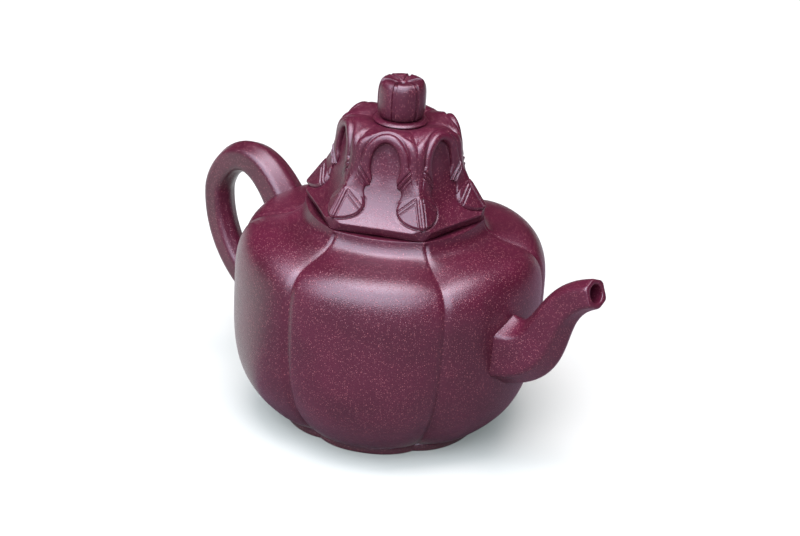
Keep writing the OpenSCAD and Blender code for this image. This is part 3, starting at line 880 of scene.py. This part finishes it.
# The floor and the card. The floor gives off a little light, so that its shadow stays pale.
FLOOR_HALF, FLOOR_COLOUR = 6.0, (0.3, 0.335, 0.28, 1)
FLOOR_GLOW, FLOOR_GLOW_STRENGTH = (0.86, 1, 1, 1), 0.13
CARD_INNER, CARD_OUTER, CARD_HEIGHT, CARD_COLOUR = 0.034, 3.0, 0.0015, (0.17, 0.125, 0.145, 1)
CARD_FIRST, CARD_LAST, CARD_STEPS = -82, 146, 40
SKY_COLOUR, SKY_STRENGTH = (0.85, 1, 1, 1), 0.02
# Each light's name, azimuth and elevation from the camera, width, height, watts and colour
LIGHT_DISTANCE, LIGHT_AIM = 2.0, (0, 0, 0.05)
LIGHTS = (
    ("key", -22, 48, 3.5, 2.4, 248, (0.84, 0.8, 1)),
    ("overhead", 20, 86, 1.6, 1.2, 80, (1, 0.82, 0.97)),
)


def stage_object(name, points, faces, paint_name, colour, roughness):
    """A matt mesh of the studio, in metres, and the shader of its paint."""
    mesh = bpy.data.meshes.new(name)
    mesh.from_pydata(points, [], faces)
    obj = bpy.data.objects.new(name, mesh)
    bpy.context.scene.collection.objects.link(obj)
    paint = bpy.data.materials.new(paint_name)
    paint.use_nodes = True
    shader = paint.node_tree.nodes["Principled BSDF"]
    shader.inputs["Base Color"].default_value = colour
    shader.inputs["Roughness"].default_value = roughness
    shader.inputs["Specular IOR Level"].default_value = 0.0
    mesh.materials.append(paint)
    return obj, shader


def make_floor():
    """A plain pale floor."""
    points = [(x * FLOOR_HALF, y * FLOOR_HALF, 0) for x, y in ((-1, -1), (1, -1), (1, 1), (-1, 1))]
    floor, shader = stage_object("floor", points, [(0, 1, 2, 3)], "floor_white", FLOOR_COLOUR, 0.9)
    shader.inputs["Emission Color"].default_value = FLOOR_GLOW
    shader.inputs["Emission Strength"].default_value = FLOOR_GLOW_STRENGTH


def make_softbox(name, place, aim, width, height, watts, colour):
    """A rectangular soft light, place and aim in metres."""
    light = bpy.data.lights.new(name, "AREA")
    light.shape = "RECTANGLE"
    light.size, light.size_y = width, height
    light.energy = watts
    light.color = colour
    obj = bpy.data.objects.new(name, light)
    obj.location = place
    obj.rotation_euler = (Vector(aim) - Vector(place)).to_track_quat("-Z", "Y").to_euler()
    obj.visible_camera = False
    bpy.context.scene.collection.objects.link(obj)


def make_dark_card():
    """A dark card on the floor before the pot and to its right. Only the clay's sheen sees it."""
    points, faces = [], []
    for i in range(CARD_STEPS + 1):
        a = math.radians(CAMERA_AZIMUTH + CARD_FIRST + (CARD_LAST - CARD_FIRST) * i / CARD_STEPS)
        points += [(r * math.sin(a), -r * math.cos(a), CARD_HEIGHT) for r in (CARD_INNER, CARD_OUTER)]
        if i:
            faces.append((2 * i - 2, 2 * i - 1, 2 * i + 1, 2 * i))
    card, _ = stage_object("dark_card", points, faces, "card_grey", CARD_COLOUR, 1.0)
    card.visible_camera = card.visible_diffuse = card.visible_shadow = False


def around(azimuth, elevation, distance):
    """A place round the pot, in metres. Azimuth counts from the camera's own, positive to its right."""
    a, e = math.radians(CAMERA_AZIMUTH + azimuth), math.radians(elevation)
    flat = distance * math.cos(e)
    return (flat * math.sin(a), -flat * math.cos(a), distance * math.sin(e) + LIGHT_AIM[2])


def make_lights():
    """A dark studio with one large softbox before the pot and a weaker one overhead."""
    world = bpy.data.worlds.new("studio")
    bpy.context.scene.world = world
    world.use_nodes = True
    background = world.node_tree.nodes["Background"]
    background.inputs["Color"].default_value = SKY_COLOUR
    background.inputs["Strength"].default_value = SKY_STRENGTH
    for name, azimuth, elevation, width, height, watts, colour in LIGHTS:
        spot = around(azimuth, elevation, LIGHT_DISTANCE)
        make_softbox(name, spot, LIGHT_AIM, width, height, watts, colour)


def make_camera():
    """The camera, at the photographed angle: turned, raised, and rolled a little."""
    azimuth, elevation, roll = map(math.radians, (CAMERA_AZIMUTH, CAMERA_ELEVATION, CAMERA_ROLL))
    back = Vector((math.sin(azimuth) * math.cos(elevation), -math.cos(azimuth) * math.cos(elevation),
                   math.sin(elevation)))
    right = Vector((math.cos(azimuth), math.sin(azimuth), 0))
    up = back.cross(right)
    rolled_right = right * math.cos(roll) + up * math.sin(roll)
    rolled_up = up * math.cos(roll) - right * math.sin(roll)
    data = bpy.data.cameras.new("camera")
    data.sensor_width = SENSOR_WIDTH
    data.lens = LENS
    camera = bpy.data.objects.new("camera", data)
    bpy.context.scene.collection.objects.link(camera)
    turn = Matrix((rolled_right, rolled_up, back)).transposed().to_4x4()
    aim = Vector((0, 0, AIM_Z)) - AIM_RIGHT * rolled_right - AIM_UP * rolled_up
    eye = aim + CAMERA_DISTANCE * back
    camera.matrix_world = Matrix.Translation(eye * MM) @ turn
    bpy.context.scene.camera = camera


# ---------------------------------------------------------------- scene


def main():
    """Builds the teapot, the studio and the camera."""
    burnished = make_clay("clay_burnished", OUTSIDE_CLAY, OUTSIDE_ROUGHNESS)
    inner = make_clay("clay_inner", INSIDE_CLAY, INSIDE_ROUGHNESS)
    make_pot_body(burnished)
    make_foot_ring(burnished)
    make_mouth_ring(burnished)
    make_spout(burnished)
    make_handle(burnished)
    make_lid_shell(burnished)
    make_lid_flange(inner)
    make_cloud_bands(burnished)
    make_corner_leaves(burnished)
    make_knob_collar(burnished)
    make_knob(burnished)
    # These two keep their CAD meshes. They show only from inside the pot or from underneath.
    for node in ("base_slab", "spout_strainer"):
        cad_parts[node].data.materials.clear()
        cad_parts[node].data.materials.append(inner)
    make_floor()
    make_dark_card()
    make_lights()
    make_camera()
    bpy.context.scene.view_settings.view_transform = "Standard"


main()
